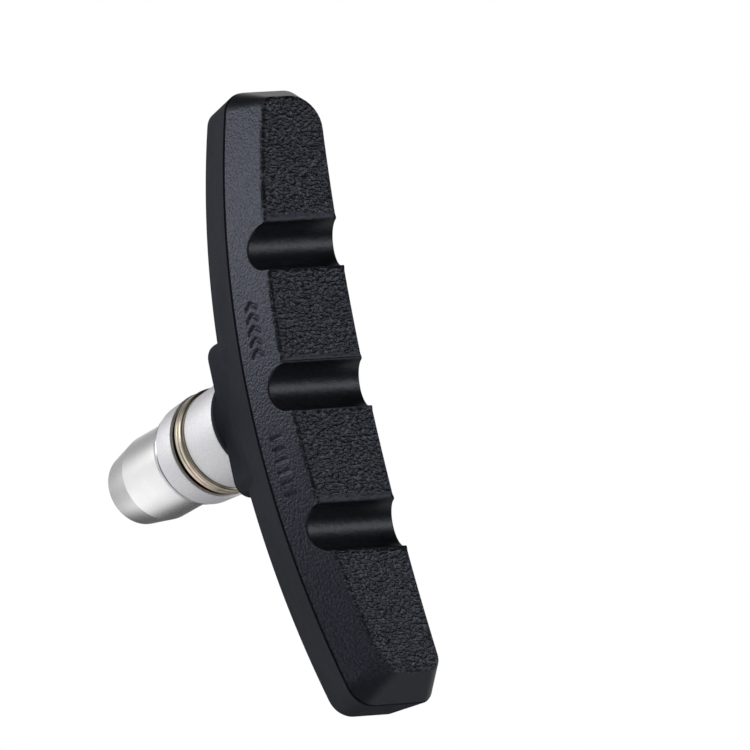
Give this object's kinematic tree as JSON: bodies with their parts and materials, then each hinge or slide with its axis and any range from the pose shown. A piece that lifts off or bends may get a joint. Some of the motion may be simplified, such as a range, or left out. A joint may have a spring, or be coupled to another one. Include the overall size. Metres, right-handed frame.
{
  "type": "bicycle brake pad",
  "caption": "Bicycle rim brake pad: curved, grooved rubber block on a threaded stud, with cupped and convex washers that let it tilt in the brake arm and a barrel nut that clamps it.",
  "frame": {"origin": "where the stud's axis meets the plane of the friction face", "axes": "+Z along the stud, from the friction face to the nut; +X along the block's length; +Y to the block's convex edge, which lies towards the tyre"},
  "size_m": [0.0714, 0.0159, 0.0397],
  "materials": {
    "rubber": "matte moulded rubber, crinkled on the friction face and smooth in the grooves",
    "plate_steel": "plain pressed steel",
    "stud_steel": "zinc plated",
    "cup_alloy": "matte, finely blasted",
    "plated_steel": "yellow passivated plating",
    "washer_steel": "bright plated",
    "nut_chrome": "polished"
  },
  "bodies": {
    "root": {"brake_block": "rubber", "backing_plate": "plate_steel", "threaded_stud": "stud_steel", "inner_cup_washer": "cup_alloy", "inner_dome_washer": "plated_steel", "outer_dome_washer": "plated_steel", "outer_cup_washer": "cup_alloy", "flat_washer": "washer_steel", "nut": "nut_chrome"}
  },
  "joints": []
}
